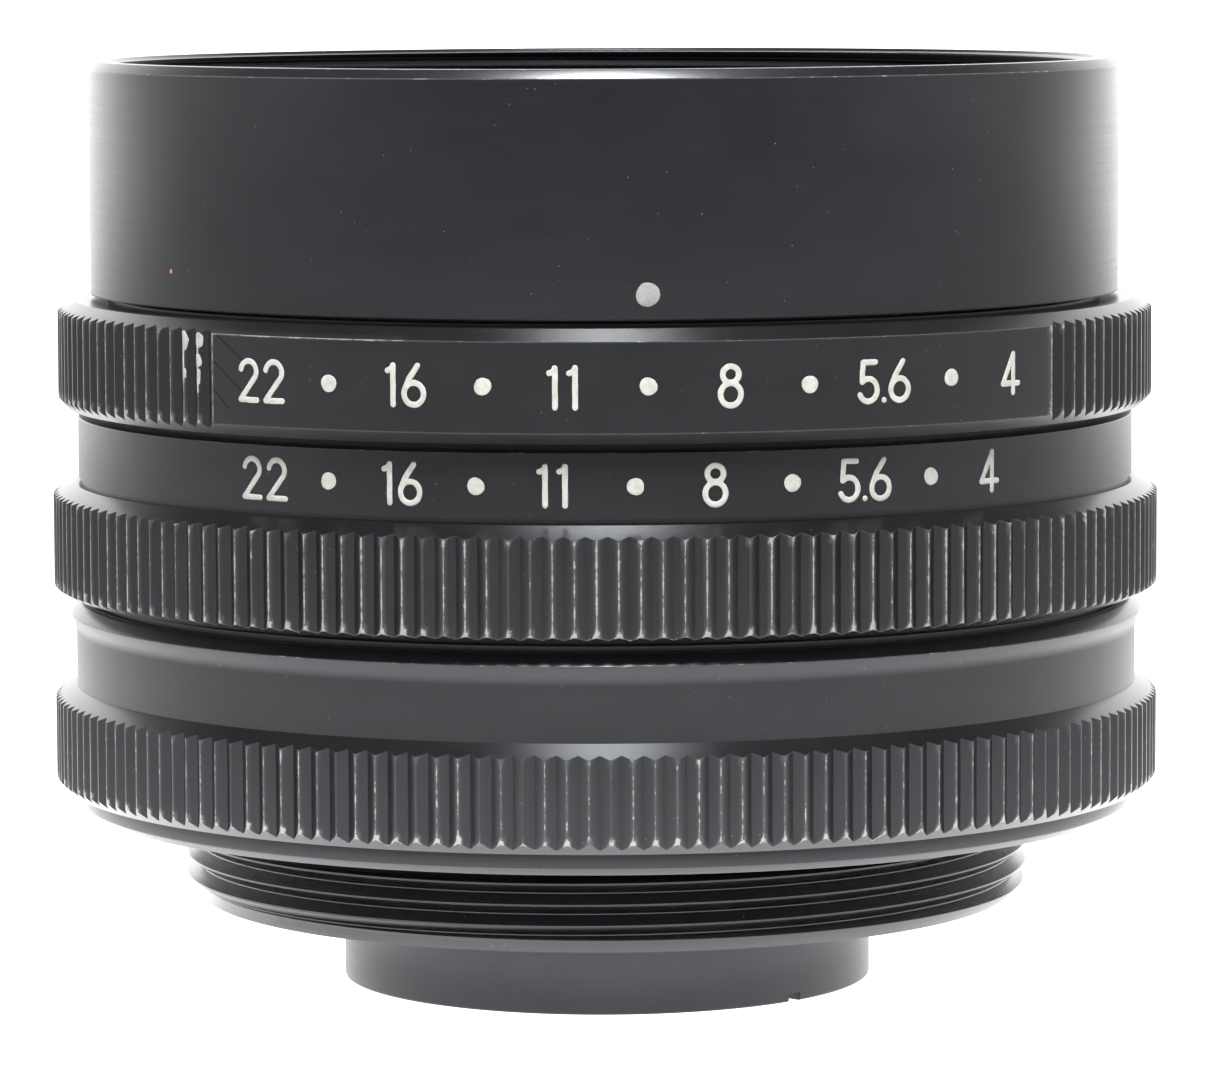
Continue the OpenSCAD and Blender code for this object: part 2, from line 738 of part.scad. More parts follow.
module iris_rotor() {
    path = pin_path(20);
    side = along(path, pin_slot_w / 2);
    back = along(path, -pin_slot_w / 2);
    color([0.5, 0.45, 0.3])
    difference() {
        tube(rotor_r, rotor_bore_r, rotor_z, rotor_z + rotor_h);
        for (i = [0 : blade_count - 1]) rotate([0, 0, i * 360 / blade_count])
            translate([0, 0, rotor_z - 1]) linear_extrude(rotor_h + 2)
                polygon(concat(side, [for (k = [len(back) - 1 : -1 : 0]) back[k]]));
        at_azimuth(180) translate([11.9, -drive_pin_r - 0.03, rotor_z - 1])
            cube([2, 2 * drive_pin_r + 0.06, rotor_h + 2]);
    }
}

// A blade in the fully open position, with its pivot on +X
module blade_outline() {
    outer = iris_open_r + blade_w;
    tip = 140;
    open_lever = lever_rest - blade_swing / 2;
    drive = [pivot_r + blade_lever * cos(open_lever), blade_lever * sin(open_lever)];
    polygon(concat(
        arc(outer, 4, tip, 24),
        arc(blade_w / 2, tip, tip + 180, 8, (outer - blade_w / 2) * cos(tip), (outer - blade_w / 2) * sin(tip)),
        arc(iris_open_r, tip, 0, 24),
        [[pivot_r, -0.55], [pivot_r + 0.55, 0], drive + [0.55, 0], drive + [0, 0.55], drive - [0.55, 0]]));
    translate([pivot_r, 0]) circle(r = 0.55);
    translate(drive) circle(r = 0.55);
}

module iris_blade(index) {
    z = blade_z + index * blade_pitch;
    open_lever = lever_rest - blade_swing / 2;
    color([0.3, 0.31, 0.33])
    rotate([0, 0, index * 360 / blade_count])
    translate([pivot_r, 0, 0]) rotate([0, 0, blade_swing / 2]) translate([-pivot_r, 0, 0]) {
        translate([0, 0, z]) linear_extrude(blade_t) blade_outline();
        translate([pivot_r, 0, floor_top - 0.6]) cylinder(r = pin_r, h = z - floor_top + 0.6 + blade_t / 2);
        translate([pivot_r + blade_lever * cos(open_lever), blade_lever * sin(open_lever), z + blade_t / 2])
            cylinder(r = pin_r, h = rotor_z + 0.8 - z);
    }
}

// Preset ring ----------------------------------------------------------------------------------

module preset_ring() {
    color([0.1, 0.1, 0.11])
    difference() {
        rotate_extrude() polygon([
            [ring_bore_r, preset_z], [preset_r - foot_chamfer, preset_z], [preset_r, preset_z + foot_chamfer],
            [preset_r, preset_top - 0.54], [preset_r - 0.87, preset_top], [ring_bore_r, preset_top]
        ]);
        rib_grooves(preset_r, preset_z - 1, preset_h + 2, panel_from, panel_to);
        for (i = [-5 : 5]) at_azimuth(click_az + i * stop_step)
            translate([click_r, 0, click_z - 0.05]) sphere(r = click_ball_r + 0.05, $fn = 32);
        at_azimuth(180) translate([25.4, 0, preset_z - eps]) cylinder(r = 0.3 + seat_gap, h = 1.6);
    }
}

module preset_stop_pin() {
    color([0.6, 0.6, 0.62])
    at_azimuth(180) translate([25.4, 0, aperture_top - 0.45])
        cylinder(r = 0.3, h = preset_z - aperture_top + 1.9);
}

mount_flange();
rear_tube();
guide_sleeve();
guide_screws();
focus_retainer();
friction_washer();
focus_stop_pin();
focus_ring();
focus_helicoid();
helicoid_screws();
main_barrel();
helicoid_tube();
tube_screws();
guide_keys();
key_screws();
iris_housing();
housing_screws();
front_barrel();
front_trim_ring();
front_cell();
front_lens();
front_lens_ring();
second_lens();
second_lens_ring();
rear_cell();
doublet_flint();
doublet_crown();
doublet_ring();
rear_lens();
rear_lens_ring();
click_ball();
click_spring();
aperture_ring();
drive_screw();
iris_rotor();
preset_ring();
preset_stop_pin();
iris_blade(0);  // iris_blade_1
iris_blade(1);  // iris_blade_2
iris_blade(2);  // iris_blade_3
iris_blade(3);  // iris_blade_4
iris_blade(4);  // iris_blade_5
iris_blade(5);  // iris_blade_6
iris_blade(6);  // iris_blade_7
iris_blade(7);  // iris_blade_8
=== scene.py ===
import json
import math
import random

import bmesh
import bpy
import numpy as np
from mathutils import Matrix, Vector


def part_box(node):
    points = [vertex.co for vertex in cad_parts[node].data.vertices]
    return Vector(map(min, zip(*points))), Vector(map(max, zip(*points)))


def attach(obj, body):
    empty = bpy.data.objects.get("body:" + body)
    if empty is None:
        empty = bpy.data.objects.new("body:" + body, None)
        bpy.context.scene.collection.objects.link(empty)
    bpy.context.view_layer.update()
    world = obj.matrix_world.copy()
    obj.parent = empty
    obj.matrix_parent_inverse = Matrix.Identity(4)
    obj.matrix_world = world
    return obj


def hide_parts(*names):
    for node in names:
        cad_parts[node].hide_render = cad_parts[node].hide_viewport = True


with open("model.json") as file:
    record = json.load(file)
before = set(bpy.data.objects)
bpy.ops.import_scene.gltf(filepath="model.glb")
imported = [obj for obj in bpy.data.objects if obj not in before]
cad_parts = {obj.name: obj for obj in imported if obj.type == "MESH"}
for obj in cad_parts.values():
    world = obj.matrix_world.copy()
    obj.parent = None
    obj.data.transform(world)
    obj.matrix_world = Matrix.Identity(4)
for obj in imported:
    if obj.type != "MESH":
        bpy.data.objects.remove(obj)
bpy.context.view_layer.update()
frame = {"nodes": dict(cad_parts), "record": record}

# Lengths below are in millimetres, up to the meshes, which are in metres. The studio is in metres.
MM = 0.001
rng = random.Random(42)


def span(node):
    """Lowest height, highest height and outer radius of a CAD node, in millimetres."""
    low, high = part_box(node)
    return low.z / MM, high.z / MM, high.x / MM


THREAD_Z, FLANGE_TOP, FLANGE_R = span("mount_flange")
FOCUS_Z, FOCUS_TOP, GRIP_R = span("focus_ring")
APERTURE_Z, APERTURE_TOP, _ = span("aperture_ring")
PRESET_Z, PRESET_TOP, PRESET_R = span("preset_ring")
BARREL_LOW, FRONT_TOP, FRONT_R = span("front_barrel")
_, TUBE_TOP, TUBE_R = span("rear_tube")
TRIM_TOP = span("front_trim_ring")[1]

# Rear tube: its wall, its narrower neck in the mount, the mount's web on its shoulder, the spanner slots
TUBE_BORE_R = TUBE_R - 0.97
TUBE_SPIGOT_R = TUBE_BORE_R + 0.65
WEB_Z = FLANGE_TOP - 3.08
SLOT_AZIMUTH = 44
SLOT_W = 0.8
SLOT_DEPTH = 0.42

# Camera thread and filter thread
THREAD_R = 21.0
THREAD_PITCH = 1.0
THREAD_ROOT_R = THREAD_R - 0.61 * THREAD_PITCH
THREAD_FIRST = THREAD_Z + 1.37
FLANGE_Z = FLANGE_TOP - 0.88
FILTER_R = 24.5
FILTER_PITCH = 0.75
FILTER_CREST_R = FILTER_R - 0.5413 * FILTER_PITCH
# Half widths of a thread's crest, and of the space outside its root, as shares of the pitch
CREST_HALF = 0.045
ROOT_HALF = 0.475

# Knurled grips
RIBS = 170
RIB_PITCH = 360 / RIBS
RIB_DEPTH = 0.3
RIB_LAND = 0.1
# A step down the flank, and half of the flat at the bottom of a groove
FLANK_STEP = 0.22
GROOVE_HALF = 0.03
FOOT_CHAMFER = 0.5
# The smooth panel in the preset ring's grip, in degrees; its left quarter is worn most
PANEL = (-42.7, 51.4)
PANEL_WORN_TO = -20
PANEL_EDGE = 0.12
# Each crest takes one of these wear values; a crest's own edges are worn less
CREST_WEAR = (1.05, 1.0, 0.95, 0.9, 0.85, 0.6, 0.4)
CREST_EDGE_WEAR = 0.36

# Bands next to the grips
FOCUS_BAND_R = 26.4
FOCUS_BAND_Z = FOCUS_Z + 5.07
LIP_R = FOCUS_BAND_R + 0.25
LIP_Z = FOCUS_TOP - 1.1
APERTURE_BAND_R = 26.21
APERTURE_BAND_Z = APERTURE_Z + 5.36
FRONT_Z = PRESET_TOP + 0.29
RING_BORE_R = 24.66

# Steps round a plain ring, and the rounding of a corner that gives none
ROUND_STEPS = 384
EASE = 0.06
# Edges that turn more than this many degrees are sharp, on a plain ring and on a knurled one
SHARP = 32
SHARP_KNURLED = 28


# Outlines -------------------------------------------------------------------------------------

# Wear across a rounded corner, as (share of the way round, wear), and the widest cut that has it in full
CORNER_WEAR = ((0, 0), (0.25, 0.35), (0.5, 0.55), (0.75, 0.35), (1, 0))
FULL_WEAR_CUT = 0.08


def eased(corners):
    """Rounds the corners of a closed outline of (radius, height) or (radius, height, ease).

    Each point gets a wear value, highest in the middle of an outer corner and 0 off the outer corners.
    """
    count = len(corners)
    points = [Vector(c[:2]) for c in corners]
    area = sum(a.x * b.y - b.x * a.y for a, b in zip(points, points[1:] + points[:1]))
    outline = []
    for k, corner in enumerate(corners):
        here = points[k]
        back, ahead = points[k - 1] - here, points[(k + 1) % count] - here
        turn = -(back.x * ahead.y - back.y * ahead.x) / (back.length * ahead.length)
        radius = corner[2] if len(corner) > 2 else EASE
        cut = min(radius, 0.4 * back.length, 0.4 * ahead.length)
        if cut == 0 or abs(turn) < 0.05:
            outline.append((corner[0], corner[1], 0.0))
            continue
        start, end = here + back.normalized() * cut, here + ahead.normalized() * cut
        outer = min(1.0, FULL_WEAR_CUT / cut) if turn * area > 0 else 0.0
        for t, wear in CORNER_WEAR:
            p = start * (1 - t) ** 2 + here * 2 * t * (1 - t) + end * t * t
            outline.append((p.x, p.y, wear * outer))
    return outline


def azimuths():
    return [-180 + 360 * j / ROUND_STEPS for j in range(ROUND_STEPS + 1)]


# Meshes ---------------------------------------------------------------------------------------

def on_ring(azimuth, radius, height):
    """A place in metres. Azimuths count from the side of the scales, in -y, towards +x."""
    a = math.radians(azimuth)
    return (radius * math.sin(a) * MM, -radius * math.cos(a) * MM, height * MM)


def add_object(name, mesh, body, material, replaced=()):
    piece = bpy.data.objects.new(name, mesh)
    bpy.context.scene.collection.objects.link(piece)
    mesh.materials.append(material)
    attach(piece, body)
    if replaced:
        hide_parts(*replaced)


def clean(mesh, sharp_degrees):
    """Welds the seam, drops faces of no size, turns the faces outwards and marks the sharp edges."""
    weld = 1e-7
    bm = bmesh.new()
    bm.from_mesh(mesh)
    bmesh.ops.remove_doubles(bm, verts=bm.verts, dist=weld)
    bmesh.ops.dissolve_degenerate(bm, edges=bm.edges, dist=weld)
    bmesh.ops.recalc_face_normals(bm, faces=bm.faces)
    bm.to_mesh(mesh)
    bm.free()
    mesh.shade_smooth()
    mesh.set_sharp_from_angle(angle=math.radians(sharp_degrees))


def lofted(name, turns, outlines, sharp_degrees=SHARP):
    """A ring-shaped body from one closed outline of (radius, height, wear) per azimuth."""
    rows = len(outlines[0])
    vertices = []
    wear = []
    for azimuth, outline in zip(turns, outlines):
        for radius, height, value in outline:
            vertices.append(on_ring(azimuth, radius, height))
            wear.append(value)
    faces = []
    for j in range(len(turns) - 1):
        for i in range(rows):
            a, b = j * rows + i, j * rows + (i + 1) % rows
            faces.append((a, a + rows, b + rows, b))
    mesh = bpy.data.meshes.new(name)
    mesh.from_pydata(vertices, [], faces)
    mesh.attributes.new("wear", "FLOAT", "POINT").data.foreach_set("value", wear)
    clean(mesh, sharp_degrees)
    return mesh


def revolved(name, corners):
    turns = azimuths()
    return lofted(name, turns, [eased(corners)] * len(turns))


def rod(radius, low, high, place):
    """A closed cylinder along z, moved by a matrix, to cut holes with."""
    bm = bmesh.new()
    bmesh.ops.create_cone(
        bm, cap_ends=True, segments=32, radius1=radius * MM, radius2=radius * MM,
        depth=(high - low) * MM, matrix=place @ Matrix.Translation((0, 0, (low + high) / 2 * MM)))
    mesh = bpy.data.meshes.new("rod")
    bm.to_mesh(mesh)
    bm.free()
    return mesh


def bar(size, place):
    """A closed box about the origin, moved by a matrix, to cut slots with."""
    bm = bmesh.new()
    scale = Matrix.Diagonal([s * MM for s in size] + [1])
    bmesh.ops.create_cube(bm, size=1, matrix=place @ scale)
    mesh = bpy.data.meshes.new("bar")
    bm.to_mesh(mesh)
    bm.free()
    return mesh


def drilled(mesh, cutters, sharp_degrees=SHARP):
    """The mesh with the cutters taken out of it."""
    stock = bpy.data.objects.new("stock", mesh)
    tools = [bpy.data.objects.new("cutter", cutter) for cutter in cutters]
    for item in [stock] + tools:
        bpy.context.scene.collection.objects.link(item)
    for tool in tools:
        cut = stock.modifiers.new("cut", "BOOLEAN")
        cut.operation = "DIFFERENCE"
        cut.solver = "EXACT"
        cut.object = tool
    made = bpy.data.meshes.new_from_object(stock.evaluated_get(bpy.context.evaluated_depsgraph_get()))
    made.name = mesh.name
    for item in [stock] + tools:
        bpy.data.objects.remove(item)
    made.materials.clear()
    clean(made, sharp_degrees)
    return made


def at_azimuth(azimuth, height=0.0):
    """A matrix that turns x outwards at an azimuth and lifts it to a height."""
    return Matrix.Rotation(math.radians(azimuth - 90), 4, "Z") @ Matrix.Translation((0, 0, height * MM))


def thread_radius(height, azimuth, first, pitch, crest, root):
    """Radius of a right-handed 60 degree thread at one height and azimuth."""
    steps = (height - first) / pitch - azimuth / 360
    off = abs(steps - round(steps))
    fade = min(max((off - CREST_HALF) / (ROOT_HALF - CREST_HALF), 0), 1)
    return crest + (root - crest) * fade


def thread_points(azimuth, low, high, first, pitch, crest, root, crest_wear):
    """Outline points of the thread between two heights, always the same number of them."""
    turns = math.ceil((high - low) / pitch) + 3
    start = first + pitch * azimuth / 360 + pitch * (math.floor((low - first) / pitch) - 1)
    points = []
    for k in range(turns):
        for offset in (-ROOT_HALF, -CREST_HALF, CREST_HALF, ROOT_HALF):
            z = min(max(start + (k + offset) * pitch, low), high)
            radius = thread_radius(z, azimuth, first, pitch, crest, root)
            points.append((radius, z, crest_wear if abs(offset) == CREST_HALF else 0.0))
    return points


# Knurled rings --------------------------------------------------------------------------------

def rib_columns(radius, phase, panel=None, worn=1.0):
    """Columns of a knurled grip: (azimuth, groove depth, wear, wear at the low end, at the high end)."""
    per_mm = math.degrees(1 / radius)
    half = RIB_PITCH / 2 / per_mm
    columns = []
    for k in range(RIBS):
        land = -180 + k * RIB_PITCH + phase
        groove = land + RIB_PITCH / 2
        line = worn * (rng.choice(CREST_WEAR) + rng.uniform(-0.08, 0.05))
        low_end = rng.uniform(0.75, 1.1)
        high_end = worn * rng.uniform(0.4, 0.95)
        depth = RIB_DEPTH * rng.uniform(0.93, 1.0)
        if panel and panel[0] < groove < panel[1]:
            top_wear = 1.0 if groove < PANEL_WORN_TO else 0.55
            edge_wear = 0.85 if groove - RIB_PITCH < panel[0] else 0.0
            columns.append((land, 0.0, edge_wear, 0.5, top_wear))
            columns.append((land + PANEL_EDGE * per_mm, 0.0, 0.0, 0.45, top_wear))
            columns.append((groove, 0.0, 0.0, 0.45, top_wear))
            continue
        edge = RIB_LAND / 2 * rng.uniform(0.8, 1.3)
        far_edge = 2 * half - RIB_LAND / 2
        profile = (
            (-edge, 0.0, CREST_EDGE_WEAR * line), (0.0, 0.0, line), (edge, 0.0, CREST_EDGE_WEAR * line),
            (edge + FLANK_STEP, 0.5, 0.0), (half - GROOVE_HALF, 0.96, 0.0), (half, 1.0, 0.0),
            (half + GROOVE_HALF, 0.96, 0.0), (far_edge - FLANK_STEP, 0.5, 0.0)
        )
        for offset, share, wear in profile:
            azimuth = land + offset * per_mm
            grade = 1.0 if share == 0 else 0.5
            columns.append((azimuth, depth * share, wear, low_end * grade, 0.8 * high_end * grade))
    columns.sort()
    first = columns[0]
    columns.append((first[0] + 360,) + first[1:])
    return columns


def groove_end(corner, end, depth):
    """Where a groove of this depth meets the slope from a corner of the grip to the slope's end."""
    start = Vector(corner)
    return start + (Vector(end) - start) * depth / (corner[0] - end[0])


def grip_points(radius, foot, low, high, top, column):
    """The part of a ring's outline that carries the ribs, at one column."""
    _, depth, wear, low_wear, high_wear = column
    # Only on a crest, which is worn all along, does the wear of an end reach up the wall
    crest = wear > 0.13
    corner_low = groove_end((radius, low), foot, depth)
    corner_high = groove_end((radius, high), top, depth)
    beyond_low = corner_low + (Vector(foot) - corner_low).normalized() * 0.03
    beyond_high = corner_high + (Vector(top) - corner_high).normalized() * 0.03
    end = Vector((0, 1)) * 0.1
    near_low, near_high = corner_low + end, corner_high - end
    points = [(beyond_low, 0.2 * low_wear), (corner_low, low_wear)]
    points += [(near_low, max(wear, low_wear) if crest else wear)]
    points += [(near_low.lerp(near_high, t / 10), wear) for t in range(1, 10)]
    points += [(near_high, max(wear, high_wear) if crest else wear)]
    points += [(corner_high, high_wear), (beyond_high, 0.2 * high_wear)]
    return [(p.x, p.y, w) for p, w in points]


def knurled(name, columns, before, radius, foot, low, high, top, after):
    """A ring with a knurled grip. The outline runs before, foot, the ribs, top, after."""
    whole = eased(before + [foot + (0,), (radius, low, 0), (radius, high, 0), top + (0,)] + after)
    corner = [k for k, p in enumerate(whole) if p[:2] in ((radius, low), (radius, high))]
    head, tail = whole[:corner[0]], whole[corner[1] + 1:]
    turns = [c[0] for c in columns]
    outlines = [head + grip_points(radius, foot, low, high, top, c) + tail for c in columns]
    return lofted(name, turns, outlines, SHARP_KNURLED)


# Marks ----------------------------------------------------------------------------------------

def bow(x, y, rx, ry, start, end):
    """Points of an elliptic arc; angles in degrees, anticlockwise from the right."""
    steps = max(4, round(abs(end - start) / 12))
    angles = [math.radians(start + (end - start) * k / steps) for k in range(steps + 1)]
    return [(x + rx * math.cos(a), y + ry * math.sin(a)) for a in angles]


# Each figure as pen strokes on a height of 1
FIGURES = {
    "1": [[(-0.15, 0.87), (-0.04, 0.91), (0, 1), (0, 0)]],
    "2": [bow(0, 0.73, 0.26, 0.27, 168, -28) + [(-0.27, 0), (0.28, 0)]],
    "4": [[(0.1, 0), (0.1, 1), (-0.29, 0.24), (0.3, 0.24)]],
    "5": [[(0.2, 1), (-0.16, 1), (-0.19, 0.5)] + bow(-0.01, 0.29, 0.26, 0.29, 128, -155)],
    "6": [
        bow(0, 0.28, 0.265, 0.28, 0, 360),
        [(0.1, 1), (-0.13, 0.66)] + bow(0, 0.28, 0.265, 0.28, 150, 175),
    ],
    "8": [bow(0, 0.79, 0.21, 0.21, 0, 360), bow(0, 0.285, 0.265, 0.285, 0, 360)],
    ".": [[(0, 0.02), (0, 0.021)]],
}
# Each word as (figure, offset in millimetres)
WORDS = {
    "22": [("2", -0.75), ("2", 0.75)],
    "16": [("1", -0.5), ("6", 0.52)],
    "11": [("1", -0.46), ("1", 0.46)],
    "8": [("8", 0)],
    "5.6": [("5", -0.82), (".", 0), ("6", 0.84)],
    "4": [("4", 0)],
}
STOPS = ("22", None, "16", None, "11", None, "8", None, "5.6", None, "4")
FIGURE_H = 1.8
STROKE_W = 0.29
# A dot is a stroke of almost no length, as wide as the dot
DOT = [[(0, 0), (0.001, 0)]]
DOT_D = 0.84
# A painted pad: grid size, height of the paint, how far its edge dips and its body reaches inside
PAD_CELL = 0.04
PAINT_RISE = 0.03
PAD_DIP = 0.012
PAD_FOOT = 0.08


def word_strokes(word):
    strokes = []
    for figure, shift in WORDS[word]:
        for stroke in FIGURES[figure]:
            strokes.append([(shift + x * FIGURE_H, (y - 0.5) * FIGURE_H) for x, y in stroke])
    return strokes


def nearest(points, strokes):
    """Each point's distance to the strokes, and the nearest place on them."""
    best = np.full(len(points), 1e9)
    found = np.zeros_like(points)
    for stroke in strokes:
        for start, end in zip(stroke, stroke[1:]):
            a, along = np.array(start), np.array(end) - np.array(start)
            t = np.clip(((points - a) @ along) / (along @ along), 0, 1)
            place = a + t[:, None] * along
            gap = np.linalg.norm(points - place, axis=1)
            closer = gap < best
            best[closer] = gap[closer]
            found[closer] = place[closer]
    return best, found


def stroke_patch(strokes, width, rise):
    """A low closed pad over the strokes: vertices as (across, up, out) and faces."""
    every = np.array([p for s in strokes for p in s])
    low, high = every.min(0) - width, every.max(0) + width
    nx, ny = np.ceil((high - low) / PAD_CELL).astype(int) + 1
    columns, rows = np.meshgrid(low[0] + PAD_CELL * np.arange(nx), low[1] + PAD_CELL * np.arange(ny))
    grid = np.stack((columns, rows), -1).reshape(-1, 2)
    gap, place = nearest(grid, strokes)
    phase = rng.uniform(0, 6)
    wobble = np.sin(5 * grid[:, 0] + phase) * np.sin(6 * grid[:, 1] + 2 * phase)
    half = width / 2 * (1 + 0.05 * wobble)
    outside = gap > half
    away = (grid - place) / np.maximum(gap, 1e-6)[:, None]
    grid = np.where(outside[:, None], place + away * half[:, None], grid)
    share = np.minimum(gap / half, 1)
    out = rise * (1 - share ** 4) - PAD_DIP * (share > 0.99)
    keep = gap < half + 0.6 * PAD_CELL
    quads = []
    for y in range(ny - 1):
        for x in range(nx - 1):
            a = y * nx + x
            quad = (a, a + 1, a + nx + 1, a + nx)
            if all(keep[v] for v in quad) and not all(outside[v] for v in quad):
                quads.append(quad)
    used = sorted({v for q in quads for v in q})
    number = {v: k for k, v in enumerate(used)}
    count = len(used)
    vertices = [(*grid[v], out[v]) for v in used]
    vertices += [(*grid[v], -PAD_FOOT) for v in used]
    faces = [tuple(number[v] for v in q) for q in quads]
    # A dict keeps the edges in their order, so that the mesh is the same each run
    edges = {edge: True for face in faces for edge in zip(face, face[1:] + face[:1])}
    rims = [(a, b) for a, b in edges if (b, a) not in edges]
    backs = [tuple(v + count for v in reversed(face)) for face in faces]
    sides = [(b, a, a + count, b + count) for a, b in rims]
    return vertices, faces + backs + sides


def rib_flank(across):
    """How far the flank of a rib has dropped at a distance from the middle of its crest."""
    half = math.radians(RIB_PITCH / 2) * PRESET_R
    return RIB_DEPTH * max(0.0, abs(across) - RIB_LAND / 2) / (half - RIB_LAND / 2)


def add_marks(name, radius, items, body, material, drop=lambda across: 0.0):
    """One piece of painted marks on a cylinder; items are (azimuth, height, strokes, width, rise)."""
    vertices = []
    faces = []
    per_mm = math.degrees(1 / radius)
    for azimuth, height, strokes, width, rise in items:
        pad, quads = stroke_patch(strokes, width, rise)
        start = len(vertices)
        vertices += [on_ring(azimuth + x * per_mm, radius + out - drop(x), height + y) for x, y, out in pad]
        faces += [tuple(start + v for v in q) for q in quads]
    mesh = bpy.data.meshes.new(name)
    mesh.from_pydata(vertices, [], faces)
    mesh.shade_smooth()
    mesh.set_sharp_from_angle(angle=math.radians(50))
    add_object(name, mesh, body, material)


def stop_scale(first, step, height):
    """The stops from 22 to 4 with dots between them, as items for add_marks."""
    items = []
    for k, word in enumerate(STOPS):
        strokes, width = (word_strokes(word), STROKE_W) if word else (DOT, DOT_D)
        uneven = rng.uniform(-0.03, 0.03)
        items.append((first + k * step, height + uneven, strokes, width, PAINT_RISE))
    return items


# Materials ------------------------------------------------------------------------------------

class Look:
    """A Principled material with short calls for its nodes."""

    def __init__(self, name, base, roughness, metallic=0.0, specular=0.5):
        self.material = bpy.data.materials.new(name)
        self.material.use_nodes = True
        self.tree = self.material.node_tree
        self.shader = self.tree.nodes["Principled BSDF"]
        self.set("Base Color", (*base, 1))
        self.set("Roughness", roughness)
        self.set("Metallic", metallic)
        self.set("Specular IOR Level", specular)
        self.place = self.node("ShaderNodeTexCoord").outputs["Object"]

    def set(self, socket, value):
        self.shader.inputs[socket].default_value = value

    def drive(self, socket, output):
        self.tree.links.new(output, self.shader.inputs[socket])

    def node(self, kind, links=(), **values):
        made = self.tree.nodes.new(kind)
        for key, value in values.items():
            setattr(made, key, value)
        for socket, source in dict(links).items():
            if isinstance(source, bpy.types.NodeSocket):
                self.tree.links.new(source, made.inputs[socket])
            else:
                made.inputs[socket].default_value = source
        return made

    def math(self, operation, a, b):
        return self.node("ShaderNodeMath", {0: a, 1: b}, operation=operation).outputs[0]

    def scaled(self, x, y, z):
        return self.node("ShaderNodeMapping", {"Vector": self.place, "Scale": (x, y, z)}).outputs[0]

    def noise(self, vector, scale, detail=3.0, roughness=0.5):
        return self.node(
            "ShaderNodeTexNoise",
            {"Vector": vector, "Scale": scale, "Detail": detail, "Roughness": roughness}
        ).outputs[0]

    def between(self, value, low, high, to_low=0.0, to_high=1.0):
        """Maps low..high to to_low..to_high, and holds the ends."""
        return self.node(
            "ShaderNodeMapRange",
            {"Value": value, "From Min": low, "From Max": high, "To Min": to_low, "To Max": to_high}
        ).outputs[0]

    def blend(self, share, a, b):
        """Goes from colour a to colour b; each is an output or three numbers."""
        made = self.node("ShaderNodeMix", {0: share}, data_type="RGBA")
        for socket, source in ((6, a), (7, b)):
            if isinstance(source, bpy.types.NodeSocket):
                self.tree.links.new(source, made.inputs[socket])
            else:
                made.inputs[socket].default_value = (*source, 1)
        return made.outputs[2]

    def turning(self, fine=7000, across=1.3):
        """Fine marks of the lathe tool, which run round the axis.

        They show on walls, and on cones and flat faces too unless across is 0.
        """
        x, y, z = self.node("ShaderNodeSeparateXYZ", {0: self.place}).outputs
        flat = self.node("ShaderNodeCombineXYZ", {0: x, 1: y}).outputs[0]
        radius = self.node("ShaderNodeVectorMath", {0: flat}, operation="LENGTH").outputs[1]
        outwards = self.math("MULTIPLY", radius, across * fine)
        upwards = self.math("MULTIPLY", z, 0.9 * fine)
        along = self.math("ADD", outwards, upwards)
        slow_x, slow_y = self.math("MULTIPLY", x, 45.0), self.math("MULTIPLY", y, 45.0)
        vector = self.node("ShaderNodeCombineXYZ", {0: slow_x, 1: slow_y, 2: along}).outputs[0]
        return self.noise(vector, 1.0, 4.0, 0.6)

    def bump(self, height, strength, distance):
        made = self.node("ShaderNodeBump", {"Height": height, "Strength": strength, "Distance": distance})
        self.drive("Normal", made.outputs[0])

    def spots(self, scale, size, share):
        """Small dots: 1 inside a dot. Only a share of the cells has one."""
        cells = self.node("ShaderNodeTexVoronoi", {"Vector": self.place, "Scale": scale})
        draw = self.node("ShaderNodeSeparateColor", {0: cells.outputs["Color"]}).outputs[0]
        chosen = self.math("GREATER_THAN", draw, 1 - share)
        inside = self.between(cells.outputs["Distance"], size, size * 0.3)
        return self.math("MULTIPLY", chosen, inside)


COOL_SHEEN = (0.92, 0.955, 1.0, 1)
DUST = (0.35, 0.33, 0.3)
RUBBED = (0.045, 0.046, 0.048)
BARE = (0.29, 0.29, 0.285)


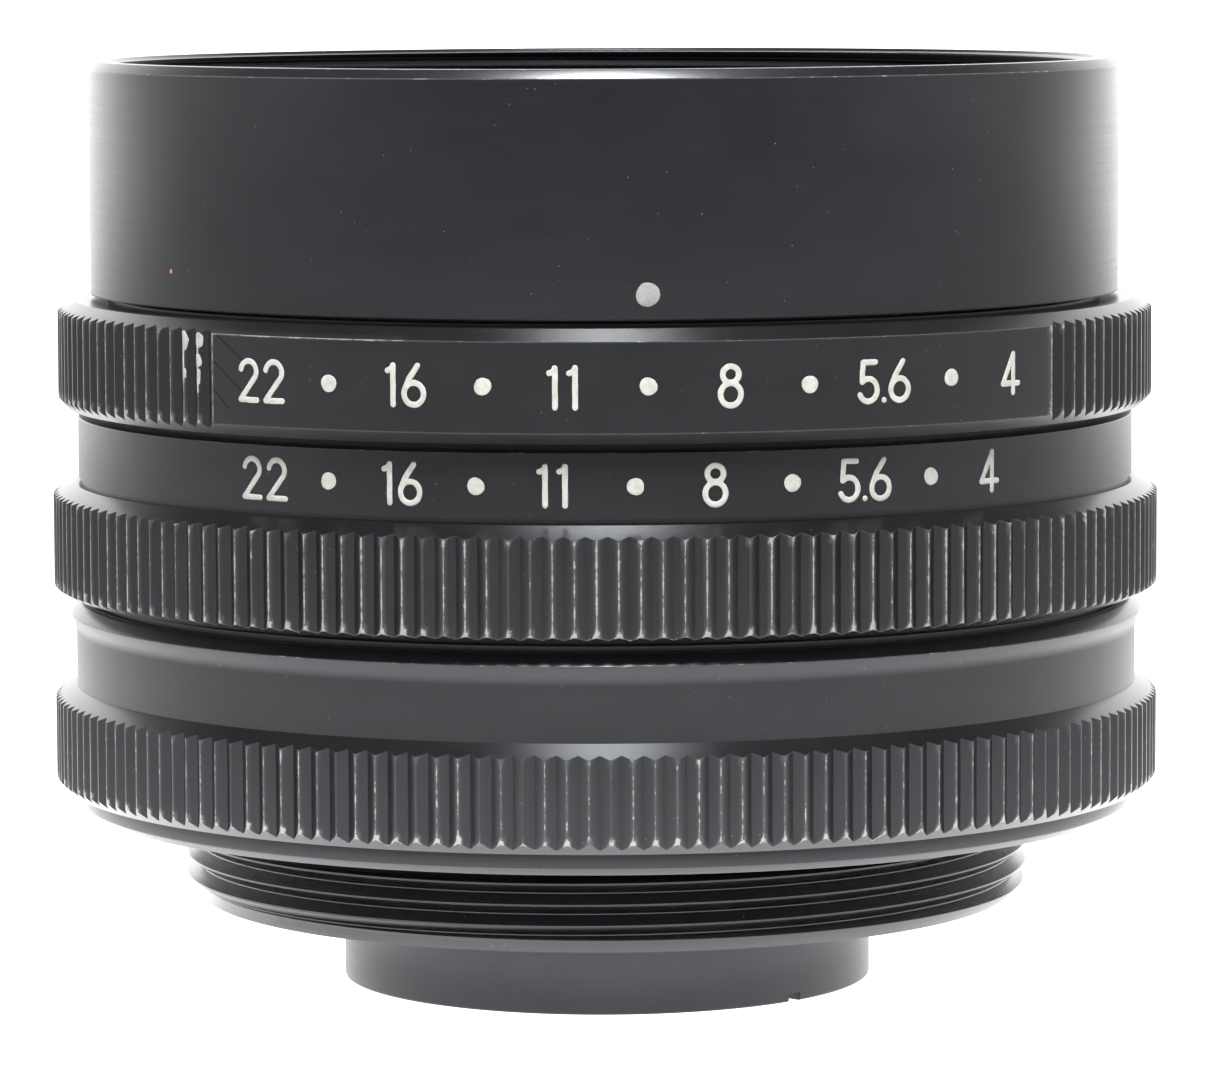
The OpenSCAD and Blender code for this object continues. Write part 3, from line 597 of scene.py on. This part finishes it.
def anodised(name, base, roughness, wear_gain=1.0, turning=1.0, specks=0.6, across=1.3):
    """Black anodised aluminium, rubbed grey and then to bare metal where the wear attribute is high."""
    look = Look(name, base, roughness)
    look.set("Specular Tint", COOL_SHEEN)
    lathe = look.turning(across=across)
    cloud = look.noise(look.scaled(260, 260, 420), 1.0, 5.0, 0.6)
    grain = look.noise(look.place, 9000.0, 2.0)
    dust = look.spots(1500.0, 0.05, specks)
    wear = look.node("ShaderNodeAttribute", attribute_name="wear").outputs["Fac"]
    patchy = look.noise(look.scaled(1800, 1800, 2400), 1.0, 4.0, 0.65)
    worn = look.math("MULTIPLY", wear, wear_gain)
    chips = look.math("ADD", worn, look.between(patchy, 0.25, 0.75, -0.75, 0.25))
    bare = look.between(chips, 0.36, 0.62)
    rubbed = look.between(wear, 0.12, 0.5, 0.0, 0.75)
    light = tuple(min(c * 1.4 + 0.002, 1) for c in base)
    toned = look.blend(look.between(cloud, 0.3, 0.75), base, light)
    dusty = look.blend(look.math("MULTIPLY", dust, 0.5), toned, DUST)
    greyed = look.blend(rubbed, dusty, RUBBED)
    look.drive("Base Color", look.blend(bare, greyed, BARE))
    look.drive("Metallic", look.math("MULTIPLY", bare, 0.6))
    spread = 0.035 * turning
    look.drive("Roughness", look.between(lathe, 0.25, 0.75, roughness - spread, roughness + spread))
    relief = look.math("ADD", look.math("MULTIPLY", lathe, turning), look.math("MULTIPLY", grain, 0.7))
    look.bump(relief, 0.1, 0.000012)
    return look.material


def bare_metal(name, base, roughness):
    look = Look(name, base, roughness, metallic=1.0)
    lathe = look.turning(fine=5000)
    dull = look.noise(look.place, 500.0, 4.0)
    darker = tuple(c * 0.6 for c in base)
    look.drive("Base Color", look.blend(look.between(dull, 0.35, 0.75), base, darker))
    look.drive("Roughness", look.between(lathe, 0.3, 0.7, roughness - 0.08, roughness + 0.14))
    look.bump(lathe, 0.3, 0.00001)
    return look.material


def matte_black(name, specular=0.3):
    look = Look(name, (0.008, 0.008, 0.009), 0.62, specular=specular)
    grain = look.noise(look.place, 5000.0, 4.0)
    cloud = look.noise(look.place, 300.0, 4.0)
    look.drive("Base Color", look.blend(cloud, (0.006, 0.006, 0.007), (0.014, 0.014, 0.015)))
    look.bump(grain, 0.4, 0.00003)
    return look.material


def paint(name, base, stain, shade):
    """Old paint, a little uneven: base goes to shade in clouds, and to stain in a few spots."""
    look = Look(name, base, 0.55)
    cloud = look.noise(look.place, 2600.0, 4.0, 0.6)
    stains = look.noise(look.place, 900.0, 3.0)
    toned = look.blend(look.between(cloud, 0.35, 0.7), base, shade)
    look.drive("Base Color", look.blend(look.between(stains, 0.66, 0.8, 0.0, 0.7), toned, stain))
    look.drive("Roughness", look.between(cloud, 0.2, 0.8, 0.45, 0.7))
    look.bump(look.noise(look.place, 6000.0, 3.0), 0.5, 0.00004)
    return look.material


def coated_glass(name):
    look = Look(name, (0.96, 0.96, 1.0), 0.02)
    look.set("Transmission Weight", 1.0)
    look.set("IOR", 1.6)
    look.set("Specular Tint", (0.45, 0.4, 1.0, 1))
    dust = look.noise(look.place, 1400.0, 5.0, 0.7)
    look.drive("Roughness", look.between(dust, 0.55, 0.8, 0.01, 0.12))
    return look.material


BLACK = anodised("black_anodised_satin", (0.003, 0.0032, 0.004), 0.26, turning=0.6, specks=0.7)
GRIP_BLACK = anodised(
    "black_anodised_grip", (0.003, 0.0031, 0.0036), 0.28, turning=0.14, specks=0.9, across=0.0)
MOUNT_BLACK = anodised("mount_black_worn", (0.003, 0.0031, 0.0034), 0.25, wear_gain=0.55)
TUBE_BLACK = anodised("rear_tube_grey_black", (0.013, 0.013, 0.015), 0.31, wear_gain=0.5, specks=0.7)
# The main barrel is brown-black; its base colour here is about three times lighter than that, painted light
# standing in for the floor's reflection that this band catches over the focus ring's lip
BROWN_BLACK_PAINTED_LIGHT = anodised("brown_black_barrel_painted_light", (0.025, 0.022, 0.0175), 0.36)
MATTE = matte_black("matte_inner_black")
SCRATCH = matte_black("scratch_shadow", specular=0.03)
STEEL = bare_metal("turned_steel", (0.5, 0.5, 0.5), 0.32)
BLADE = bare_metal("blued_blade_steel", (0.1, 0.1, 0.12), 0.38)
BRASS = bare_metal("turned_brass", (0.66, 0.47, 0.2), 0.35)
ALUMINIUM = bare_metal("bare_aluminium_turned", (0.62, 0.62, 0.62), 0.38)
GLASS = coated_glass("coated_glass_violet")
# The scale paint is white; its base colour here is set much darker, painted shade that offsets the soft
# box, which is bright enough for the bevel highlights and too bright for diffuse paint
WHITE_PAINT_PAINTED_SHADE = paint("scale_paint_white_painted_shade", (0.35, 0.35, 0.325), (0.24, 0.18, 0.12), (0.27, 0.265, 0.24))
DULL_PAINT = paint("index_paint_dull", (0.255, 0.26, 0.25), (0.06, 0.06, 0.06), (0.17, 0.175, 0.17))
SMEAR_PAINT = paint("smeared_paint", (0.27, 0.28, 0.27), (0.12, 0.12, 0.12), (0.2, 0.2, 0.2))
ORANGE_PAINT = paint("orange_speck_paint", (0.42, 0.16, 0.07), (0.2, 0.08, 0.04), (0.3, 0.11, 0.05))

# The look of each material slot of the record
CAD_LOOKS = {
    "black_anodised": BLACK, "mount_black": MOUNT_BLACK, "rear_tube_black": TUBE_BLACK,
    "brown_black": BROWN_BLACK_PAINTED_LIGHT, "matte_black": MATTE, "bare_aluminium": ALUMINIUM, "brass": BRASS,
    "screw_steel": STEEL, "blade_steel": BLADE, "coated_glass": GLASS,
}


def dress_cad_nodes():
    for part in frame["record"]["subparts"]:
        mesh = frame["nodes"][part["node"]].data
        mesh.materials.clear()
        mesh.materials.append(CAD_LOOKS[part["material_slot"]])


# Pieces ---------------------------------------------------------------------------------------

def make_rear_tube():
    """The tube; the two rows just above its spanner slots keep the faces that the cut makes small."""
    tube = revolved("rear_tube_shell", [
        (TUBE_BORE_R, 0), (TUBE_R, 0, 0.15), (TUBE_R, 0.6, 0), (TUBE_R, 0.75, 0),
        (TUBE_R, WEB_Z), (TUBE_SPIGOT_R, WEB_Z), (TUBE_SPIGOT_R, TUBE_TOP), (TUBE_BORE_R, TUBE_TOP)
    ])
    both_slots = bar((3 * TUBE_R, SLOT_W, 2 * SLOT_DEPTH), at_azimuth(SLOT_AZIMUTH))
    return drilled(tube, [both_slots])


def make_mount():
    """The thread, then the flange above it, then inside it the web that the screws hold."""
    low, high = THREAD_Z + 0.65, THREAD_FIRST + 2.6
    runout_r, undercut_z = THREAD_ROOT_R - 0.1, FLANGE_Z + 0.12
    seat_r, edge_r = THREAD_R + 0.3, FLANGE_R - 0.8
    # Taller than in the CAD, which closes the gap below the focus ring
    top = FLANGE_TOP + 0.16
    recess_r, sleeve_r, spigot_r = 19.2, 21.3, TUBE_SPIGOT_R + 0.02
    web_top = FLANGE_Z + 0.5
    upper = eased([
        (recess_r, THREAD_Z, 0), (runout_r, high, 0), (runout_r, undercut_z, 0),
        (seat_r, undercut_z, 0), (seat_r, FLANGE_Z, 0.03), (FLANGE_R - 0.3, FLANGE_Z, 0.05),
        (FLANGE_R, FLANGE_Z + 0.32, 0.05), (FLANGE_R, top, 0.03), (edge_r, top, 0),
        (edge_r, FLANGE_TOP, 0), (sleeve_r, FLANGE_TOP), (sleeve_r, web_top),
        (spigot_r, web_top), (spigot_r, WEB_Z), (recess_r, WEB_Z)
    ])
    turns = azimuths()
    outlines = []
    for azimuth in turns:
        # The first turn of the thread grows out of the chamfer at the end of the mount
        thread = []
        for radius, z, wear in thread_points(
                azimuth, low, high, THREAD_FIRST, THREAD_PITCH, THREAD_R, THREAD_ROOT_R, 0.18):
            limit = THREAD_R - 0.1 + max(0, z - low) * 1.1
            thread.append((min(radius, limit), z, wear if z > low else 0.35))
        lead = [(THREAD_R - 0.8, THREAD_Z, 0.0), (THREAD_R - 0.75, THREAD_Z + 0.04, 0.5)]
        outlines.append(upper[:1] + lead + thread + upper[1:])
    # Four screws, each with a hole through the web and a pocket for its head
    circle_r, screw_r, head_r, pocket_depth = 17.4, 0.82, 1.45, 0.9
    holes = []
    for k in range(4):
        place = at_azimuth(45 + 90 * k, WEB_Z) @ Matrix.Translation((circle_r * MM, 0, 0))
        holes += [rod(screw_r, -0.1, 3, place), rod(head_r, -0.1, pocket_depth, place)]
    return drilled(lofted("mount_shell", turns, outlines), holes)


def make_focus_ring():
    """The grip, the plain band and the flared lip; inside, three bores with steps between them."""
    foot_bore_r, middle_bore_r, top_bore_r = 22.9, 24.42, 25.72
    foot_step, top_step = FOCUS_Z + 0.85, FOCUS_Z + 2.8
    return knurled(
        "focus_ring_shell", rib_columns(GRIP_R, phase=0.44, worn=0.72),
        before=[(foot_bore_r, FOCUS_Z)],
        radius=GRIP_R,
        foot=(GRIP_R - FOOT_CHAMFER, FOCUS_Z),
        low=FOCUS_Z + FOOT_CHAMFER,
        high=FOCUS_BAND_Z - 0.62,
        top=(FOCUS_BAND_R, FOCUS_BAND_Z),
        after=[
            (FOCUS_BAND_R, LIP_Z - 0.12, 0.25), (LIP_R, LIP_Z + 0.55, 0.05), (LIP_R - 0.5, FOCUS_TOP),
            (top_bore_r, FOCUS_TOP), (top_bore_r, top_step), (middle_bore_r, top_step),
            (middle_bore_r, foot_step), (foot_bore_r, foot_step)
        ])


def make_aperture_ring():
    """The grip, a narrow dark groove and the band with the scale; the drive screw's hole is behind."""
    drive_low, drive_high, _ = span("drive_screw")
    outwards = Matrix.Rotation(math.pi / 2, 4, "Y")
    screw_r, inside_bore, outside_ring = 1.02, 20, 30
    hole = rod(
        screw_r, inside_bore, outside_ring, at_azimuth(180, (drive_low + drive_high) / 2) @ outwards)
    groove_r = APERTURE_BAND_R - 0.15
    ring = knurled(
        "aperture_ring_shell", rib_columns(GRIP_R, phase=-0.85),
        before=[(RING_BORE_R, APERTURE_Z)],
        radius=GRIP_R,
        foot=(GRIP_R - FOOT_CHAMFER, APERTURE_Z),
        low=APERTURE_Z + 0.3,
        high=APERTURE_BAND_Z - 0.59,
        top=(GRIP_R - 1.07, APERTURE_BAND_Z),
        after=[
            (groove_r, APERTURE_BAND_Z, 0), (groove_r, APERTURE_BAND_Z + 0.25, 0),
            (APERTURE_BAND_R, APERTURE_BAND_Z + 0.27, 0), (APERTURE_BAND_R, APERTURE_TOP, 0.08),
            (RING_BORE_R, APERTURE_TOP)
        ])
    return drilled(ring, [hole], SHARP_KNURLED)


def make_preset_ring():
    return knurled(
        "preset_ring_shell", rib_columns(PRESET_R, phase=0.0, panel=PANEL),
        before=[(RING_BORE_R, PRESET_Z)],
        radius=PRESET_R,
        foot=(PRESET_R - FOOT_CHAMFER, PRESET_Z),
        low=PRESET_Z + FOOT_CHAMFER,
        high=PRESET_TOP - 0.54,
        top=(PRESET_R - 0.87, PRESET_TOP),
        after=[(RING_BORE_R, PRESET_TOP)])


def make_front_barrel():
    """Outside, a spigot and the rim; inside, the filter thread and the trim ring's seat."""
    spigot_r, ledge_r, seat_r = 23.38, 21.2, span("front_trim_ring")[2] + 0.02
    mouth_z, ledge_z = FRONT_TOP - 0.12, TRIM_TOP - 2.8
    thread_low, thread_high, first = FRONT_TOP - 3.85, FRONT_TOP - 0.2, FRONT_TOP - 0.525
    outer = eased([
        (ledge_r, BARREL_LOW), (spigot_r, BARREL_LOW), (spigot_r, FRONT_Z, 0), (FRONT_R, FRONT_Z, 0.1),
        (FRONT_R, FRONT_TOP - 0.43, 0.06), (FRONT_R - 0.33, FRONT_TOP, 0.06),
        (FILTER_R + 0.1, FRONT_TOP, 0.04), (FILTER_R, mouth_z, 0), (FILTER_R, TRIM_TOP, 0),
        (seat_r, TRIM_TOP, 0), (seat_r, ledge_z, 0), (ledge_r, ledge_z)
    ])
    mouth = [k for k, p in enumerate(outer) if p[:2] == (FILTER_R, mouth_z)][0] + 1
    turns = azimuths()
    outlines = []
    for azimuth in turns:
        thread = thread_points(
            azimuth, thread_low, thread_high, first, FILTER_PITCH, FILTER_CREST_R, FILTER_R, 0.2)
        outlines.append(outer[:mouth] + thread[::-1] + outer[mouth:])
    return lofted("front_barrel_shell", turns, outlines)


def make_shells():
    """Each shell replaces the CAD node that has its place."""
    add_object("rear_tube_shell", make_rear_tube(), "mount", TUBE_BLACK, ["rear_tube"])
    add_object("mount_shell", make_mount(), "mount", MOUNT_BLACK, ["mount_flange"])
    add_object("focus_ring_shell", make_focus_ring(), "focus", GRIP_BLACK, ["focus_ring"])
    add_object(
        "aperture_ring_shell", make_aperture_ring(), "aperture", GRIP_BLACK, ["aperture_ring"])
    add_object("preset_ring_shell", make_preset_ring(), "preset", GRIP_BLACK, ["preset_ring"])
    add_object("front_barrel_shell", make_front_barrel(), "optics", BLACK, ["front_barrel"])


def make_marks():
    add_marks(
        "preset_scale", PRESET_R, stop_scale(first=-35.9, step=8.02, height=31.43),
        "preset", WHITE_PAINT_PAINTED_SHADE)
    add_marks(
        "aperture_scale", APERTURE_BAND_R, stop_scale(first=-37.3, step=8.07, height=26.8),
        "aperture", WHITE_PAINT_PAINTED_SHADE)
    # Paint that has run over the last two rib crests before the panel, as items for add_marks
    crest = -44.47
    smears = [
        (crest, 33.15, [[(0.03, 0.1), (0.0, -0.12)]], 0.52, 0.03),
        (crest, 32.0, [[(0.0, 1.1), (0.0, -1.3)]], 0.11, 0.02),
        (crest, 32.2, [[(-0.05, 0.12), (0.0, -0.12)]], 0.42, 0.03),
        (crest, 31.4, [[(0.04, 0.3), (0.03, -0.25)]], 0.2, 0.02),
        (crest - RIB_PITCH, 32.9, [[(0.0, 0.5), (0.12, 0.2), (0.02, -0.15)]], 0.3, 0.03),
        (crest - RIB_PITCH, 32.0, [[(0.0, 1.1), (0.0, -0.8)]], 0.13, 0.02),
        (crest - RIB_PITCH, 31.5, [[(0.04, 0.2), (0.04, -0.1)]], 0.2, 0.02),
    ]
    add_marks("paint_smears", PRESET_R, smears, "preset", SMEAR_PAINT, drop=rib_flank)
    # Scratches in the panel, as (azimuth, height) of their two ends
    scratches = []
    for start, end in (
        ((-41.6, 33.42), (-37.8, 32.2)), ((-42.1, 32.2), (-38.5, 30.95)), ((-42.2, 30.9), (-40.2, 30.1))
    ):
        along = math.radians(end[0] - start[0]) * PRESET_R
        scratches.append((*start, [[(0, 0), (along, end[1] - start[1])]], 0.1, 0.005))
    add_marks("panel_scratches", PRESET_R, scratches, "preset", SCRATCH)
    add_marks("index_dot", FRONT_R, [(4.49, 35.54, DOT, 1.15, 0.02)], "optics", DULL_PAINT)
    add_marks("orange_speck", FRONT_R, [(-53.5, 36.12, DOT, 0.26, 0.02)], "optics", ORANGE_PAINT)


# Studio ---------------------------------------------------------------------------------------

def make_floor():
    """A wide pale table that glows: a little round the lens, and more far behind it."""
    look = Look("pale_floor", (0.86, 0.86, 0.86), 0.75, specular=0.2)
    cloud = look.noise(look.place, 3.0, 3.0)
    look.drive("Base Color", look.blend(cloud, (0.85, 0.85, 0.85), (0.88, 0.88, 0.88)))
    look.set("Emission Color", (1, 1, 1, 1))
    distance = look.node("ShaderNodeVectorMath", {0: look.place}, operation="LENGTH").outputs[1]
    y = look.node("ShaderNodeSeparateXYZ", {0: look.place}).outputs[1]
    behind = look.between(y, 0.15, 0.55, 0.0, 1.45)
    near = look.between(distance, 0.015, 0.09, 1.6, 0.25)
    far = look.between(distance, 0.15, 0.5, 1.0, 0.3)
    look.drive("Emission Strength", look.math("ADD", look.math("MULTIPLY", near, far), behind))
    steps = 96
    rings = (0.1, 0.4, 1.5)
    # Just below the lens, so that no face of it lies in the floor
    level = -0.00003
    vertices = [(0, 0, level)]
    for radius in rings:
        for k in range(steps):
            a = 2 * math.pi * k / steps
            vertices.append((radius * math.cos(a), radius * math.sin(a), level))
    faces = [(0, 1 + k, 1 + (k + 1) % steps) for k in range(steps)]
    for ring in range(len(rings) - 1):
        start = 1 + ring * steps
        for k in range(steps):
            n = (k + 1) % steps
            faces.append((start + k, start + steps + k, start + steps + n, start + n))
    mesh = bpy.data.meshes.new("floor")
    mesh.from_pydata(vertices, [], faces)
    mesh.materials.append(look.material)
    floor = bpy.data.objects.new("floor", mesh)
    bpy.context.scene.collection.objects.link(floor)


def make_room():
    """White walls: brighter behind the lens, darker behind the camera, with a darker ceiling."""
    world = bpy.data.worlds.new("white_room")
    bpy.context.scene.world = world
    world.use_nodes = True
    tree = world.node_tree
    toward = tree.nodes.new("ShaderNodeTexCoord").outputs["Generated"]
    parts = tree.nodes.new("ShaderNodeSeparateXYZ")
    tree.links.new(toward, parts.inputs[0])

    def between(value, low, high, to_low, to_high):
        made = tree.nodes.new("ShaderNodeMapRange")
        made.interpolation_type = "SMOOTHSTEP"
        tree.links.new(value, made.inputs[0])
        for socket, number in zip(range(1, 5), (low, high, to_low, to_high)):
            made.inputs[socket].default_value = number
        return made.outputs[0]

    def times(a, b):
        made = tree.nodes.new("ShaderNodeMath")
        made.operation = "MULTIPLY"
        tree.links.new(a, made.inputs[0])
        tree.links.new(b, made.inputs[1])
        return made.outputs[0]

    front = between(parts.outputs[1], -0.95, -0.2, 0.42, 1.0)
    back = between(parts.outputs[1], 0.45, 0.95, 1.0, 2.4)
    ceiling = between(parts.outputs[2], 0.3, 0.75, 1.0, 0.3)
    level = times(times(front, back), ceiling)
    background = tree.nodes["Background"]
    background.inputs["Color"].default_value = (1.0, 1.0, 1.0, 1)
    strength = tree.nodes.new("ShaderNodeMath")
    strength.operation = "MULTIPLY"
    strength.inputs[1].default_value = 1.08
    tree.links.new(level, strength.inputs[0])
    tree.links.new(strength.outputs[0], background.inputs["Strength"])


def make_lamp():
    """A round soft box above the lens, towards the camera, with a narrow beam."""
    data = bpy.data.lights.new("soft_box", "AREA")
    data.shape = "DISK"
    data.size = 0.24
    data.energy = 0.45
    data.spread = math.radians(24)
    lamp = bpy.data.objects.new("soft_box", data)
    bpy.context.scene.collection.objects.link(lamp)
    lamp.location = (0.0, -0.27, 0.57)
    lamp.rotation_euler = (Vector((0, 0, 0.03)) - lamp.location).to_track_quat("-Z", "Y").to_euler()


def make_camera():
    """The photograph's view: from the front, a little from above."""
    data = bpy.data.cameras.new("camera")
    data.sensor_width = 36
    data.lens = 183.8
    data.clip_start = 0.01
    camera = bpy.data.objects.new("camera", data)
    bpy.context.scene.collection.objects.link(camera)
    tilt, roll = math.radians(90 - 5.6), -0.0043
    camera.matrix_world = Matrix.Translation((0.00003, -0.30805, 0.05233)) @ (
        Matrix.Rotation(tilt, 4, "X") @ Matrix.Rotation(roll, 4, "Z"))
    bpy.context.scene.camera = camera


# The scene ------------------------------------------------------------------------------------

bpy.context.scene.view_settings.view_transform = "Standard"
make_camera()
make_room()
make_lamp()
make_floor()
dress_cad_nodes()
make_shells()
make_marks()
